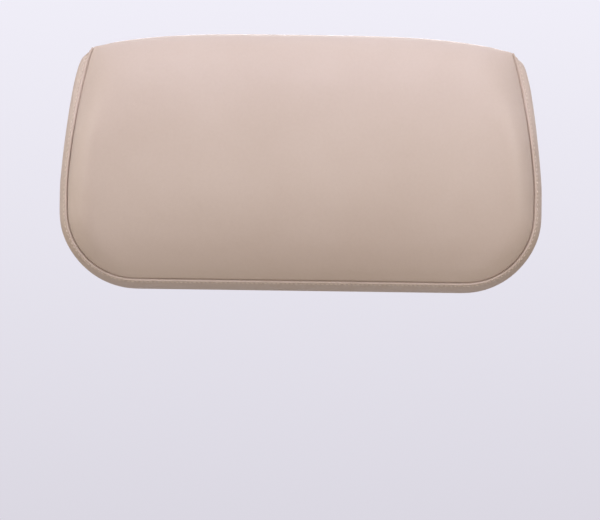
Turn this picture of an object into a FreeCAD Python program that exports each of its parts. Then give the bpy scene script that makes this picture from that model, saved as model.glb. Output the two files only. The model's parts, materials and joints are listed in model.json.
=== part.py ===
"""Chair headrest attachment: an upholstered pad that tilts on a bent steel post frame, whose two legs
slide in a guide housing screwed to the back of a chair's backrest.

Frame, in millimetres: the origin is the centre of the four mounting holes, on the face that lies
against the rear of the backrest. +Z is up, -Y is forward to the sitter, X is across. The backrest
fills the gap between that face and the back of the pad. The headrest is at its lowest height and its
pad is upright.
"""

import FreeCAD, Part

import math
import os
import re

import Sketcher

Vec = FreeCAD.Vector

# ---------------------------------------------------------------- driving dimensions
SIZES = {
    # pad, seen from the front
    "pad_width": (440, "width at the widest"),
    "pad_height": (233, "bottom edge to crest"),
    "corner_radius": (71, "lower corners"),
    "shoulder_width": (412, "width where the shoulders start"),
    "shoulder_height": (192, "height of the shoulders above the bottom edge"),
    "top_width": (388, "width at the crest"),
    # pad, seen from the side
    "pad_depth": (66, "rear face to the front of the crown"),
    "seam_depth": (38, "rear face to the front seam"),
    "seam_rise": (8, "front seam above the bottom edge"),
    "crown_height": (100, "height of the foremost point"),
    "brow_height": (177, "height where the top roll starts"),
    "brow_depth": (57, "depth where the top roll starts"),
    "crest_depth": (22, "depth of the crest"),
    "rear_seam_height": (222, "height of the rear top seam"),
    # pad layers
    "leather": (1.8, "leather thickness"),
    "wadding": (6, "wadding thickness"),
    "layer_gap": (0.05, "clearance between layers"),
    "board_thick": (10, "moulded plywood board"),
    "rear_cover_thick": (3, "leather wrapped rear panel"),
    # post frame
    "post_diameter": (12, "steel rod"),
    "post_spacing": (160, "between the two legs"),
    "front_bend": (20, "centreline radius, crossbar to arm"),
    "rear_bend": (26, "centreline radius, arm to leg"),
    "leg_end": (-102, "height of the legs' lower ends"),
    "notch_count": (6, "height stops"),
    "notch_pitch": (12, "between height stops"),
    "notch_radius": (1.4, "rounded notch"),
    "clip_level": (-98, "stop clips on the legs"),
    # where things are
    "gap": (36, "room for the backrest"),
    "pivot_height": (70, "tilt axis above the mounting holes"),
    "pivot_inset": (24, "tilt axis in front of the pad's rear face"),
    "pivot_level": (182, "tilt axis above the pad's bottom edge"),
    "post_back": (20, "legs behind the mounting face"),
    "latch_height": (12, "detent and button above the mounting holes"),
    # mounting plate and its rubber
    "plate_width": (250, "mounting plate"),
    "plate_height": (72, "mounting plate"),
    "plate_thick": (3, "mounting plate"),
    "plate_corner": (12, "mounting plate"),
    "rubber_thick": (2, "rubber between plate and backrest"),
    "mount_spacing_x": (224, "mounting holes"),
    "mount_spacing_z": (48, "mounting holes"),
    "mount_hole": (6.6, "clearance for M6"),
    # guide housing
    "housing_width": (200, "guide housing"),
    "housing_depth": (27.5, "guide housing without its cover"),
    "housing_corner": (9, "guide housing"),
    "wall": (3, "housing front and side walls"),
    "end_wall": (4, "housing top and bottom walls"),
    "cover_thick": (3.5, "housing cover"),
    "boss_diameter": (9, "screw bosses"),
    "boss_spacing_x": (100, "screw bosses"),
    "boss_spacing_z": (48, "screw bosses"),
    "sleeve_diameter": (16, "guide sleeves"),
    "sleeve_flange": (22, "guide sleeve collars"),
    "flange_thick": (3, "guide sleeve collars"),
    "running": (0.05, "radial running clearance"),
    # release button and detent
    "button_length": (14, "button face, front to back"),
    "button_tall": (12, "button face, height"),
    "button_proud": (5, "button beyond the housing wall"),
    "wire": (2, "detent wire"),
    "wire_bend": (3, "detent wire centreline radius"),
    "prong": (3, "button prong thickness"),
    # tilt clamps
    "clamp_spacing": (72, "between the two tilt clamps"),
    "clamp_width": (24, "tilt clamps"),
    "clamp_tall": (50, "tilt clamps"),
    "clamp_depth": (11, "each half of a clamp"),
    "clamp_gap": (1, "between the halves of a clamp"),
    "clamp_screw": (5, "clamp screws"),
    "clamp_screw_spacing": (34, "clamp screws above and below the axis"),
    "bush_diameter": (16, "friction bushes"),
    # post slots
    "slot_width": (15, "opening for a post in the slot bezel"),
    "slot_height": (30, "opening for a post in the slot bezel"),
    "slot_lift": (7.5, "slot centre above the tilt axis"),
    "bezel_wall": (1.5, "bezel neck wall"),
    "bezel_flange": (4, "bezel flange beyond its neck"),
}

doc = FreeCAD.newDocument("HeadrestAttachment")
sheet = doc.addObject("Spreadsheet::Sheet", "Sizes")
for row, (alias, (number, note)) in enumerate(SIZES.items(), start=1):
    sheet.set(f"A{row}", alias)
    sheet.set(f"B{row}", str(number))
    sheet.set(f"C{row}", note)
    sheet.setAlias(f"B{row}", alias)
doc.recompute()


# ---------------------------------------------------------------- helpers
def expression(text):
    """The text with each size in it looked up in the sheet."""
    return re.sub(r"[a-z_]+", lambda m: "Sizes." + m[0] if m[0] in SIZES else m[0], str(text))


def value(text):
    """The number that an expression of sizes gives."""
    return float(sheet.evalExpression(expression(text)))


def bind(thing, **properties):
    """Binds properties to expressions of the sizes; a double underscore in a name stands for a dot."""
    for name, text in properties.items():
        thing.setExpression(name.replace("__", "."), expression(text))


def place(thing, x=0, y=0, z=0):
    bind(thing, Placement__Base__x=x, Placement__Base__y=y, Placement__Base__z=z)


def new_body(label):
    made = doc.addObject("PartDesign::Body", label)
    made.Label = label
    return made


def new_sketch(body, plane, x=0, y=0, z=0):
    """A sketch on one of the body's origin planes, moved by (x, y) in the plane and z along its normal."""
    support = next(f for f in body.Origin.OriginFeatures if f.Role == plane)
    made = body.newObject("Sketcher::SketchObject", body.Label + "_sketch")
    made.AttachmentSupport = (support, [""])
    made.MapMode = "FlatFace"
    bind(made, AttachmentOffset__Base__x=x, AttachmentOffset__Base__y=y, AttachmentOffset__Base__z=z)
    doc.recompute()
    return made


def add_constraint(sketch, *facts, size=None):
    """A constraint, whose datum is an expression of the sizes where one is given."""
    numbers = list(facts) + ([value(size)] if size is not None else [])
    index = sketch.addConstraint(Sketcher.Constraint(*numbers))
    if size is not None:
        sketch.setExpression(f"Constraints[{index}]", expression(size))


def draw_rectangle(sketch, width, height, construction=False):
    """A rectangle centred on the sketch's origin. Returns its first line's number."""
    w, h = value(width) / 2, value(height) / 2
    corners = [Vec(-w, -h, 0), Vec(w, -h, 0), Vec(w, h, 0), Vec(-w, h, 0)]
    first = sketch.GeometryCount
    for k in range(4):
        sketch.addGeometry(Part.LineSegment(corners[k], corners[(k + 1) % 4]), construction)
    for k in range(4):
        add_constraint(sketch, "Coincident", first + k, 2, first + (k + 1) % 4, 1)
        add_constraint(sketch, "Horizontal" if k % 2 == 0 else "Vertical", first + k)
    add_constraint(sketch, "Symmetric", first, 1, first + 2, 1, -1, 1)
    add_constraint(sketch, "DistanceX", first, 1, first, 2, size=width)
    add_constraint(sketch, "DistanceY", first + 1, 1, first + 1, 2, size=height)
    return first


def draw_circle(sketch, diameter, corner=None):
    """A circle on the sketch's origin, or on the start of the line numbered corner."""
    at = sketch.Geometry[corner].StartPoint if corner is not None else Vec()
    number = sketch.addGeometry(Part.Circle(at, Vec(0, 0, 1), value(diameter) / 2), False)
    on = (corner, 1) if corner is not None else (-1, 1)
    add_constraint(sketch, "Coincident", number, 3, *on)
    add_constraint(sketch, "Diameter", number, size=diameter)


def draw_corner_circles(sketch, spacing_x, spacing_y, diameter):
    """Four circles on the corners of a construction rectangle."""
    first = draw_rectangle(sketch, spacing_x, spacing_y, construction=True)
    for k in range(4):
        draw_circle(sketch, diameter, corner=first + k)


def draw_circle_pair(sketch, spacing, diameter):
    """Two circles on the sketch's X axis, evenly about its origin."""
    half = value(spacing) / 2
    line = sketch.addGeometry(Part.LineSegment(Vec(-half, 0, 0), Vec(half, 0, 0)), True)
    add_constraint(sketch, "Horizontal", line)
    add_constraint(sketch, "Symmetric", line, 1, line, 2, -1, 1)
    add_constraint(sketch, "DistanceX", line, 1, line, 2, size=spacing)
    for end in (1, 2):
        at = Vec(-half if end == 1 else half, 0, 0)
        number = sketch.addGeometry(Part.Circle(at, Vec(0, 0, 1), value(diameter) / 2), False)
        add_constraint(sketch, "Coincident", number, 3, line, end)
        add_constraint(sketch, "Diameter", number, size=diameter)


def add_pad(sketch, length, reverse=False, both_ways=False):
    return add_extrusion("PartDesign::Pad", sketch, length, reverse, both_ways)


def add_pocket(sketch, length, reverse=False, both_ways=False):
    return add_extrusion("PartDesign::Pocket", sketch, length, reverse, both_ways)


def add_extrusion(kind, sketch, length, reverse, both_ways):
    """A pad or a pocket of the sketch, which has to change its body's volume."""
    body = sketch.getParentGeoFeatureGroup()
    before = body.Shape.Volume if body.Tip else 0
    made = body.newObject(kind, body.Label + "_" + kind.split("::")[1].lower())
    made.Profile = sketch
    made.Midplane = both_ways
    made.Reversed = reverse
    bind(made, Length=length)
    doc.recompute()
    grown = body.Shape.Volume - before
    if (grown <= 1e-6) if kind.endswith("Pad") else (grown >= -1e-6):
        raise RuntimeError(f"{made.Name} changed nothing")
    return made


def edges_where(body, test):
    """The names of the body's edges whose shape passes the test."""
    return [f"Edge{k}" for k, edge in enumerate(body.Shape.Edges, start=1) if test(edge)]


def along(axis):
    """A test for straight edges that run along X, Y or Z."""
    def test(edge):
        straight = isinstance(edge.Curve, Part.Line)
        return straight and abs(abs(getattr(edge.Curve.Direction, axis)) - 1) < 1e-6
    return test


def in_plane(axis, position):
    """A test for edges that lie in one plane across X, Y or Z."""
    low, high = axis.upper() + "Min", axis.upper() + "Max"
    at = value(position)
    on_plane = lambda level: abs(level - at) < 1e-4
    return lambda edge: on_plane(getattr(edge.BoundBox, low)) and on_plane(getattr(edge.BoundBox, high))


def add_edge_feature(kind, body, test, size):
    """A fillet or a chamfer on every edge of the body that passes the test."""
    base = body.Tip
    made = body.newObject("PartDesign::" + kind, body.Label + "_" + kind.lower())
    made.Base = (base, edges_where(body, test))
    bind(made, **{"Radius" if kind == "Fillet" else "Size": size})
    doc.recompute()
    if made.Shape.isNull():
        raise RuntimeError(f"{made.Name} failed")
    return made


def new_box(name, width, depth, height, x, y, z):
    """A box centred on (x, y, z)."""
    made = doc.addObject("Part::Box", name)
    bind(made, Length=width, Width=depth, Height=height)
    place(made, f"{x} - ({width}) / 2", f"{y} - ({depth}) / 2", f"{z} - ({height}) / 2")
    return made


def new_rod(name, diameter, length, x, y, z, axis="z"):
    """A cylinder from (x, y, z) along +X, +Y or +Z."""
    made = doc.addObject("Part::Cylinder", name)
    turns = {"x": (Vec(0, 1, 0), 90), "y": (Vec(1, 0, 0), -90), "z": (Vec(0, 0, 1), 0)}
    made.Placement = FreeCAD.Placement(Vec(), FreeCAD.Rotation(*turns[axis]))
    bind(made, Radius=f"({diameter}) / 2", Height=length)
    place(made, x, y, z)
    return made


def new_cut(name, base, *tools):
    made = doc.addObject("Part::Cut", name)
    made.Base = base
    made.Tool = tools[0] if len(tools) == 1 else new_fuse(name + "_tools", *tools)
    return made


def new_fuse(name, *shapes):
    made = doc.addObject("Part::MultiFuse", name)
    made.Shapes = list(shapes)
    return made


def new_group(label, pieces):
    """Identical pieces as one sub-part of separate solids."""
    made = doc.addObject("Part::Compound", label)
    made.Links = pieces
    made.Label = label
    return made


def new_feature(label, shape):
    made = doc.addObject("Part::Feature", label)
    made.Shape = shape
    made.Label = label
    return made


PARTS = []


def keep(thing):
    """Marks a finished sub-part, which is written to parts/ under its label."""
    doc.recompute()
    PARTS.append(thing)
    return thing


SIDES = (("left", "-1"), ("right", "1"))

# Places that several pieces share, as expressions of the sizes.
PLATE_FRONT = "rubber_thick"
PLATE_REAR = "rubber_thick + plate_thick"
HOUSING_REAR = "rubber_thick + plate_thick + housing_depth"
COVER_REAR = "rubber_thick + plate_thick + housing_depth + cover_thick"
PAD_REAR = "-gap"
BOARD_REAR = "-gap - rear_cover_thick"
BOARD_FRONT = "-gap - rear_cover_thick - board_thick"
PIVOT_Y = "-gap - pivot_inset"
PAD_BOTTOM = "pivot_height - pivot_level"


# ---------------------------------------------------------------- mounting plate
def make_plate(label, front, thickness):
    """A plate with rounded corners and the four mounting holes."""
    body = new_body(label)
    outline = new_sketch(body, "XZ_Plane", z=f"-({front})")
    draw_rectangle(outline, "plate_width", "plate_height")
    add_pad(outline, thickness, reverse=True)
    add_edge_feature("Fillet", body, along("y"), "plate_corner")
    holes = new_sketch(body, "XZ_Plane", z=f"-({front})")
    draw_corner_circles(holes, "mount_spacing_x", "mount_spacing_z", "mount_hole")
    add_pocket(holes, "4 * plate_thick", both_ways=True)
    return body


def make_backrest_pad():
    """Rubber sheet that lies between the plate and the backrest."""
    keep(make_plate("backrest_pad", "0", "rubber_thick"))


def make_base_plate():
    """Steel plate, countersunk for the screws that hold the housing."""
    body = make_plate("base_plate", PLATE_FRONT, "plate_thick")
    holes = new_sketch(body, "XZ_Plane", z=f"-({PLATE_FRONT})")
    draw_corner_circles(holes, "boss_spacing_x", "boss_spacing_z", "4.3")
    add_pocket(holes, "4 * plate_thick", both_ways=True)
    front = value(PLATE_FRONT)
    hole_rims = lambda e: isinstance(e.Curve, Part.Circle) and abs(e.Curve.Radius - 2.15) < 1e-6 \
        and abs(e.BoundBox.YMin - front) < 1e-6
    add_edge_feature("Chamfer", body, hole_rims, "2")
    keep(body)


# ---------------------------------------------------------------- guide housing
def make_guide_housing():
    """Moulded box, open to the rear, whose top and bottom walls hold the guide sleeves."""
    body = new_body("guide_housing")
    outline = new_sketch(body, "XZ_Plane", z=f"-({PLATE_REAR})")
    draw_rectangle(outline, "housing_width", "plate_height")
    add_pad(outline, "housing_depth", reverse=True)
    add_edge_feature("Fillet", body, along("y"), "housing_corner")
    hollow = new_sketch(body, "XZ_Plane", z=f"-({PLATE_REAR} + wall)")
    draw_rectangle(hollow, "housing_width - 2 * wall", "plate_height - 2 * end_wall")
    add_pocket(hollow, "housing_depth - wall")
    inner = value("housing_width / 2 - wall")
    inside_corners = lambda e: along("y")(e) and abs(abs(e.BoundBox.Center.x) - inner) < 1e-6
    add_edge_feature("Fillet", body, inside_corners, "housing_corner - end_wall")
    bosses = new_sketch(body, "XZ_Plane", z=f"-({PLATE_REAR} + wall)")
    draw_corner_circles(bosses, "boss_spacing_x", "boss_spacing_z", "boss_diameter")
    add_pad(bosses, "housing_depth - wall", reverse=True)
    rib = new_sketch(body, "XZ_Plane", x="-post_spacing / 2 + 34", y="latch_height",
                     z=f"-({PLATE_REAR} + wall)")
    draw_rectangle(rib, "wall", "12")
    add_pad(rib, "housing_depth - wall", reverse=True)
    for y in WIRE_LEGS:
        hole = new_sketch(body, "YZ_Plane", x=y, y="latch_height", z="-post_spacing / 2 + 34")
        draw_circle(hole, "wire + 0.2")
        add_pocket(hole, "10", both_ways=True)
    seats = new_sketch(body, "XY_Plane", y="post_back")
    draw_circle_pair(seats, "post_spacing", "sleeve_diameter + 2 * running")
    add_pocket(seats, "2 * plate_height", both_ways=True)
    pilots = new_sketch(body, "XZ_Plane", z=f"-({PLATE_REAR})")
    draw_corner_circles(pilots, "boss_spacing_x", "boss_spacing_z", "4.1")
    add_pocket(pilots, "13")
    pilots = new_sketch(body, "XZ_Plane", z=f"-({HOUSING_REAR})")
    draw_corner_circles(pilots, "boss_spacing_x", "boss_spacing_z", "3.1")
    add_pocket(pilots, "9", reverse=True)
    window = new_sketch(body, "YZ_Plane", x="post_back", y="latch_height", z="-housing_width / 2")
    draw_rectangle(window, "button_length + 0.6", "button_tall + 0.6")
    add_pocket(window, "2 * wall", both_ways=True)
    keep(body)


def make_housing_cover():
    """Rear cover of the housing, with four counterbored screw holes and a softened edge."""
    body = new_body("housing_cover")
    outline = new_sketch(body, "XZ_Plane", z=f"-({HOUSING_REAR})")
    draw_rectangle(outline, "housing_width", "plate_height")
    add_pad(outline, "cover_thick", reverse=True)
    add_edge_feature("Fillet", body, along("y"), "housing_corner")
    add_edge_feature("Fillet", body, in_plane("y", COVER_REAR), "2.2")
    for diameter, depth in (("3.3", "4 * cover_thick"), ("6.4", "4")):
        holes = new_sketch(body, "XZ_Plane", z=f"-({COVER_REAR})")
        draw_corner_circles(holes, "boss_spacing_x", "boss_spacing_z", diameter)
        add_pocket(holes, depth, both_ways=True)
    keep(body)


def make_guide_sleeve(side, sign):
    """Nylon sleeve with a collar; the left one has a window for the detent wire."""
    body = new_body("guide_sleeve_" + side)
    for diameter, low, length in (
        ("sleeve_diameter", "-plate_height / 2", "plate_height"),
        ("sleeve_flange", "plate_height / 2", "flange_thick"),
    ):
        ring = new_sketch(body, "XY_Plane", x=f"{sign} * post_spacing / 2", y="post_back", z=low)
        draw_circle(ring, diameter)
        add_pad(ring, length)
    bore = new_sketch(body, "XY_Plane", x=f"{sign} * post_spacing / 2", y="post_back")
    draw_circle(bore, "post_diameter + 2 * running")
    add_pocket(bore, "3 * plate_height", both_ways=True)
    add_edge_feature("Fillet", body, in_plane("z", "plate_height / 2 + flange_thick"), "1")
    if side == "left":
        window = new_sketch(body, "XZ_Plane", x="-post_spacing / 2 + 8", y="latch_height", z="-post_back")
        draw_rectangle(window, "10", "wire + 2")
        add_pocket(window, "sleeve_diameter + 2", both_ways=True)
    keep(body)


# ---------------------------------------------------------------- height stop and its button
WIRE_LEGS = ("post_back - 10.3", "post_back + 10.3")
WIRE_X = "-post_spacing / 2 + post_diameter / 2 - 0.2"


def make_detent_spring():
    """Spring wire bent to a U, whose middle rests in a notch of the left leg."""
    x, bend, z = value(WIRE_X), value("wire_bend"), value("latch_height")
    end = value("-post_spacing / 2 + 37")
    front, rear = (value(y) for y in WIRE_LEGS)
    slack = bend * (1 - math.sqrt(0.5))
    front_bend = Part.Arc(Vec(x + bend, front, z), Vec(x + slack, front + slack, z), Vec(x, front + bend, z))
    rear_bend = Part.Arc(Vec(x, rear - bend, z), Vec(x + slack, rear - slack, z), Vec(x + bend, rear, z))
    spine = Part.Wire([
        Part.makeLine(Vec(end, front, z), Vec(x + bend, front, z)),
        front_bend.toShape(),
        Part.makeLine(Vec(x, front + bend, z), Vec(x, rear - bend, z)),
        rear_bend.toShape(),
        Part.makeLine(Vec(x + bend, rear, z), Vec(end, rear, z)),
    ])
    section = Part.Wire(Part.makeCircle(value("wire") / 2, Vec(end, front, z), Vec(1, 0, 0)))
    keep(new_feature("detent_spring", spine.makePipeShell([section], True, True)))


def make_button_spring():
    """Coil spring that pushes the release button out."""
    turns, steps, thick, radius = 4, 8, 0.6, 2.7
    start = value("-housing_width / 2 + wall + 2.4") + thick / 2
    length = value("-post_spacing / 2 - sleeve_diameter / 2 - 0.4") - start - thick / 2
    points = []
    for k in range(turns * steps + 1):
        angle = 2 * math.pi * k / steps
        points.append(Vec(start + length * k / (turns * steps),
                          value("post_back") + radius * math.cos(angle),
                          value("latch_height") + radius * math.sin(angle)))
    line = Part.BSplineCurve()
    line.interpolate(points)
    section = Part.Wire(Part.makeCircle(thick / 2, points[0], line.tangent(0)[0]))
    sweep = Part.BRepOffsetAPI.MakePipeShell(Part.Wire(line.toShape()))
    sweep.setBiNormalMode(Vec(1, 0, 0))
    sweep.add(section)
    sweep.build()
    sweep.makeSolid()
    keep(new_feature("button_spring", sweep.shape()))


def make_release_button():
    """Push button: a flange inside the housing wall, two prongs that reach past the sleeve to the wire."""
    body = new_body("release_button")
    outer = "-housing_width / 2 - button_proud"
    face = new_sketch(body, "YZ_Plane", x="post_back", y="latch_height", z=outer)
    draw_rectangle(face, "button_length", "button_tall")
    add_pad(face, "button_proud + wall + 0.1")
    add_edge_feature("Fillet", body, along("x"), "2.5")
    add_edge_feature("Fillet", body, in_plane("x", outer), "1.2")
    flange = new_sketch(body, "YZ_Plane", x="post_back", y="latch_height",
                        z="-housing_width / 2 + wall + 0.1")
    draw_rectangle(flange, "23.4", "button_tall + 3")
    add_pad(flange, "2")
    reach = "post_spacing / -2 + post_diameter / 2 - 1.6 - (-housing_width / 2 + wall + 2)"
    for y in ("post_back - 10.2", "post_back + 10.2"):
        tip = new_sketch(body, "YZ_Plane", x=y, y="latch_height", z="-housing_width / 2 + wall + 2")
        draw_rectangle(tip, "prong", "6")
        add_pad(tip, reach)
    keep(body)


# ---------------------------------------------------------------- post frame
def make_post_frame():
    """One steel rod bent to a crossbar, two arms over the backrest and two legs, notched and grooved."""
    half, front, rear = value("post_spacing / 2"), value("front_bend"), value("rear_bend")
    y, z, leg_y = value(PIVOT_Y), value("pivot_height"), value("post_back")
    radius = value("post_diameter / 2")

    def side(sign):
        """From the middle of the crossbar to the foot of one leg."""
        turn = 1 - math.sqrt(0.5)
        points = {
            "bar": Vec(sign * (half - front), y, z),
            "elbow": Vec(sign * (half - front * turn), y + front * turn, z),
            "arm": Vec(sign * half, y + front, z),
            "back": Vec(sign * half, leg_y - rear, z),
            "knee": Vec(sign * half, leg_y - rear * turn, z - rear * turn),
            "leg": Vec(sign * half, leg_y, z - rear),
            "foot": Vec(sign * half, leg_y, value("leg_end")),
        }
        return [
            Part.makeLine(Vec(0, y, z), points["bar"]),
            Part.Arc(points["bar"], points["elbow"], points["arm"]).toShape(),
            Part.makeLine(points["arm"], points["back"]),
            Part.Arc(points["back"], points["knee"], points["leg"]).toShape(),
            Part.makeLine(points["leg"], points["foot"]),
        ]

    halves = []
    for sign in (-1, 1):
        spine = Part.Wire(side(sign))
        section = Part.Wire(Part.makeCircle(radius, Vec(0, y, z), Vec(1, 0, 0)))
        halves.append(spine.makePipeShell([section], True, True))
    rod = new_feature("post_rod", halves[0].fuse(halves[1]).removeSplitter())
    cuts = []
    notched_side = "-post_spacing / 2 + post_diameter / 2", "post_back - post_diameter / 2"
    for k in range(int(value("notch_count"))):
        level = f"latch_height - {k} * notch_pitch"
        cuts.append(new_rod(f"notch_{k}", "2 * notch_radius", "post_diameter", *notched_side, level, "y"))
    for name, sign in SIDES:
        at = f"{sign} * post_spacing / 2", "post_back", "clip_level"
        outside = new_rod(f"groove_{name}_outside", "post_diameter + 2", "1.2", *at)
        inside = new_rod(f"groove_{name}_inside", "post_diameter - 2", "1.2", *at)
        cuts.append(new_cut("groove_" + name, outside, inside))
    frame = new_cut("notched_rod", rod, *cuts)
    doc.recompute()
    foot = value("leg_end")
    rims = [k for k, e in enumerate(frame.Shape.Edges, start=1)
            if abs(e.BoundBox.ZMin - foot) < 1e-4 and abs(e.BoundBox.ZMax - foot) < 1e-4]
    made = doc.addObject("Part::Chamfer", "post_frame")
    made.Base = frame
    made.Edges = [(k, 1.2, 1.2) for k in rims]
    made.Label = "post_frame"
    keep(made)


def make_stop_clips():
    """Open rings in the grooves of the legs, which keep the posts from being pulled out."""
    clips = []
    for name, sign in SIDES:
        x = f"{sign} * post_spacing / 2"
        disc = new_rod(f"clip_{name}_disc", "post_diameter + 5", "1", x, "post_back", "clip_level + 0.1")
        bore_at = x, "post_back", "clip_level - 0.1"
        bore = new_rod(f"clip_{name}_bore", "post_diameter - 1.9", "1.4", *bore_at)
        mouth = new_box(f"clip_{name}_mouth", "post_diameter - 3.5", "post_diameter", "1.4",
                        x, "post_back + post_diameter / 2", "clip_level + 0.6")
        clips.append(new_cut("clip_" + name, disc, bore, mouth))
    keep(new_group("stop_clips", clips))


# ---------------------------------------------------------------- tilt clamps
def make_clamp_half(label, sign, front, is_cap):
    """Half of a clamp round one friction bush: a block on the board, or the cap that closes it."""
    body = new_body(label)
    x = f"{sign} * clamp_spacing / 2"
    outline = new_sketch(body, "XZ_Plane", x=x, y="pivot_height", z=f"-({front})")
    draw_rectangle(outline, "clamp_width", "clamp_tall")
    add_pad(outline, "clamp_depth - clamp_gap / 2", reverse=True)
    add_edge_feature("Fillet", body, along("y"), "4")
    if is_cap:
        add_edge_feature("Fillet", body, in_plane("y", front), "2.5")
    bore = new_sketch(body, "YZ_Plane", x=PIVOT_Y, y="pivot_height", z=x)
    draw_circle(bore, "bush_diameter + 2 * running")
    add_pocket(bore, "2 * clamp_width", both_ways=True)
    widths = [("clamp_screw + 0.4", "60")] + ([("clamp_screw + 4", "10.6")] if is_cap else [])
    for diameter, depth in widths:
        for z in ("pivot_height + clamp_screw_spacing / 2", "pivot_height - clamp_screw_spacing / 2"):
            hole = new_sketch(body, "XZ_Plane", x=x, y=z, z=f"-({front})")
            draw_circle(hole, diameter)
            add_pocket(hole, depth, both_ways=True)
    keep(body)


def make_friction_bush(side, sign):
    """Split nylon bush that grips the crossbar."""
    body = new_body("friction_bush_" + side)
    x = f"{sign} * clamp_spacing / 2"
    ring = new_sketch(body, "YZ_Plane", x=PIVOT_Y, y="pivot_height", z=x)
    draw_circle(ring, "bush_diameter")
    draw_circle(ring, "post_diameter + 2 * running")
    add_pad(ring, "clamp_width + 4", both_ways=True)
    slit = new_sketch(body, "XZ_Plane", x=x, y="pivot_height", z=f"-({PIVOT_Y})")
    draw_rectangle(slit, "2 * clamp_width", "1.5")
    add_pocket(slit, "bush_diameter")
    keep(body)


CLAMP_SCREW_PLACES = [(s, r) for s in ("-1", "1") for r in ("-1", "1")]
CAP_FRONT = f"{PIVOT_Y} - clamp_depth"


def make_clamp_screws():
    """Socket head screws that draw the caps to the blocks and thread into the board's tee nuts."""
    screws = []
    for k, (s, r) in enumerate(CLAMP_SCREW_PLACES):
        at = (f"{s} * clamp_spacing / 2", f"pivot_height + {r} * clamp_screw_spacing / 2")
        head = new_rod(f"clamp_head_{k}", "clamp_screw + 3.5", "5", at[0], f"{CAP_FRONT} + 0.2", at[1], "y")
        shank = new_rod(f"clamp_shank_{k}", "clamp_screw", "30.5", at[0], f"{CAP_FRONT} + 0.2", at[1], "y")
        socket = doc.addObject("Part::Prism", f"clamp_socket_{k}")
        socket.Polygon = 6
        socket.Placement = FreeCAD.Placement(Vec(), FreeCAD.Rotation(Vec(1, 0, 0), -90))
        bind(socket, Circumradius="2.3", Height="3")
        place(socket, at[0], f"{CAP_FRONT} - 0.3", at[1])
        screws.append(new_cut(f"clamp_screw_{k}", new_fuse(f"clamp_blank_{k}", head, shank), socket))
    keep(new_group("clamp_screws", screws))


def make_tee_nuts():
    """Tee nuts pressed into the board from behind."""
    nuts = []
    for k, (s, r) in enumerate(CLAMP_SCREW_PLACES):
        x, z = f"{s} * clamp_spacing / 2", f"pivot_height + {r} * clamp_screw_spacing / 2"
        flange = new_rod(f"nut_flange_{k}", "15", "1.5", x, f"{BOARD_REAR} - 1.5", z, "y")
        barrel = new_rod(f"nut_barrel_{k}", "6.8", "8", x, f"{BOARD_REAR} - 8", z, "y")
        thread = new_rod(f"nut_thread_{k}", "clamp_screw + 0.1", "12", x, f"{BOARD_REAR} - 11", z, "y")
        nuts.append(new_cut(f"tee_nut_{k}", new_fuse(f"nut_blank_{k}", flange, barrel), thread))
    keep(new_group("board_tee_nuts", nuts))


# ---------------------------------------------------------------- pad outlines
def point(plane, a, b):
    """A point of an outline: (x, height) from the front, (depth, height) from the side, (x, depth) from
    above. Heights are above the pad's bottom edge and depths are in front of its rear face."""
    y, z = value(PAD_REAR), value(PAD_BOTTOM)
    return {"front": Vec(a, y, z + b), "side": Vec(0, y - a, z + b), "top": Vec(a, y - b, z)}[plane]


def outline_face(plane, steps, inset):
    """A closed outline set in by inset. Each step is a point, or a (middle, end) pair for an arc."""
    edges, here, start = [], None, None
    for step in steps:
        if isinstance(step[0], tuple):
            middle, end = (point(plane, *p) for p in step)
            edges.append(Part.Arc(here, middle, end).toShape())
        else:
            end = point(plane, *step)
            if here is not None:
                edges.append(Part.makeLine(here, end))
        here, start = end, start or end
    if here.distanceToPoint(start) > 1e-6:
        edges.append(Part.makeLine(here, start))
    wire = Part.Wire(edges)
    if inset:
        wire = wire.makeOffset2D(-inset, join=0)
    return Part.Face(wire)


def front_outline(inset=0):
    """The pad from the front: round lower corners, sides that taper up to round shoulders, crowned top."""
    half, r = value("pad_width / 2"), value("corner_radius")
    shoulder, high = value("shoulder_width / 2"), value("shoulder_height")
    neck, top = value("top_width / 2"), value("pad_height")
    turn = r * (1 - math.sqrt(0.5))
    bow = 1.7
    right = [
        ((half - turn, turn), (half, r)),
        (((half + shoulder) / 2 + bow, (r + high) / 2), (shoulder, high)),
        ((shoulder - 4, high + 14), (neck, top - 15)),
        ((neck - 24, top - 9), (neck - 54, top - 4.2)),
        ((0, top), (54 - neck, top - 4.2)),
    ]
    left = [
        ((24 - neck, top - 9), (-neck, top - 15)),
        ((4 - shoulder, high + 14), (-shoulder, high)),
        ((-(half + shoulder) / 2 - bow, (r + high) / 2), (-half, r)),
        ((turn - half, turn), (r - half, 0)),
    ]
    return outline_face("front", [(r - half, 0), (half - r, 0)] + right + left, inset)


def side_outline(inset=0):
    """The pad from the side: bulging bottom band, crowned front, top rolled over to the rear seam."""
    seam, rise = value("seam_depth"), value("seam_rise")
    deep, crown = value("pad_depth"), value("crown_height")
    brow, brow_z = value("brow_depth"), value("brow_height")
    crest, top = value("crest_depth"), value("pad_height")
    rear = value("rear_seam_height")
    behind = -20
    return outline_face("side", [
        (behind, rise - 2), (0, rise - 2),
        ((seam / 2, 0), (seam, rise)),
        ((seam + 21, crown / 2 + 2), (deep, crown)),
        (((deep + brow) / 2 + 2.3, (crown + brow_z) / 2), (brow, brow_z)),
        ((brow - 10, top - 20), (crest, top)),
        ((crest - 13, top - 3), (0, rear)),
        (behind, rear),
    ], inset)


def top_outline(inset=0):
    """The pad from above: crowned front that rolls down to the side seams."""
    half, seam, deep = value("pad_width / 2"), value("seam_depth"), value("pad_depth")
    edge, shelf = half - 24, deep - 7.5
    return outline_face("top", [
        (-half, -20), (half, -20), (half, seam),
        ((half - 8, seam + 12), (edge, shelf)),
        ((0, deep), (-edge, shelf)),
        ((8 - half, seam + 12), (-half, seam)),
    ], inset)


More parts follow.
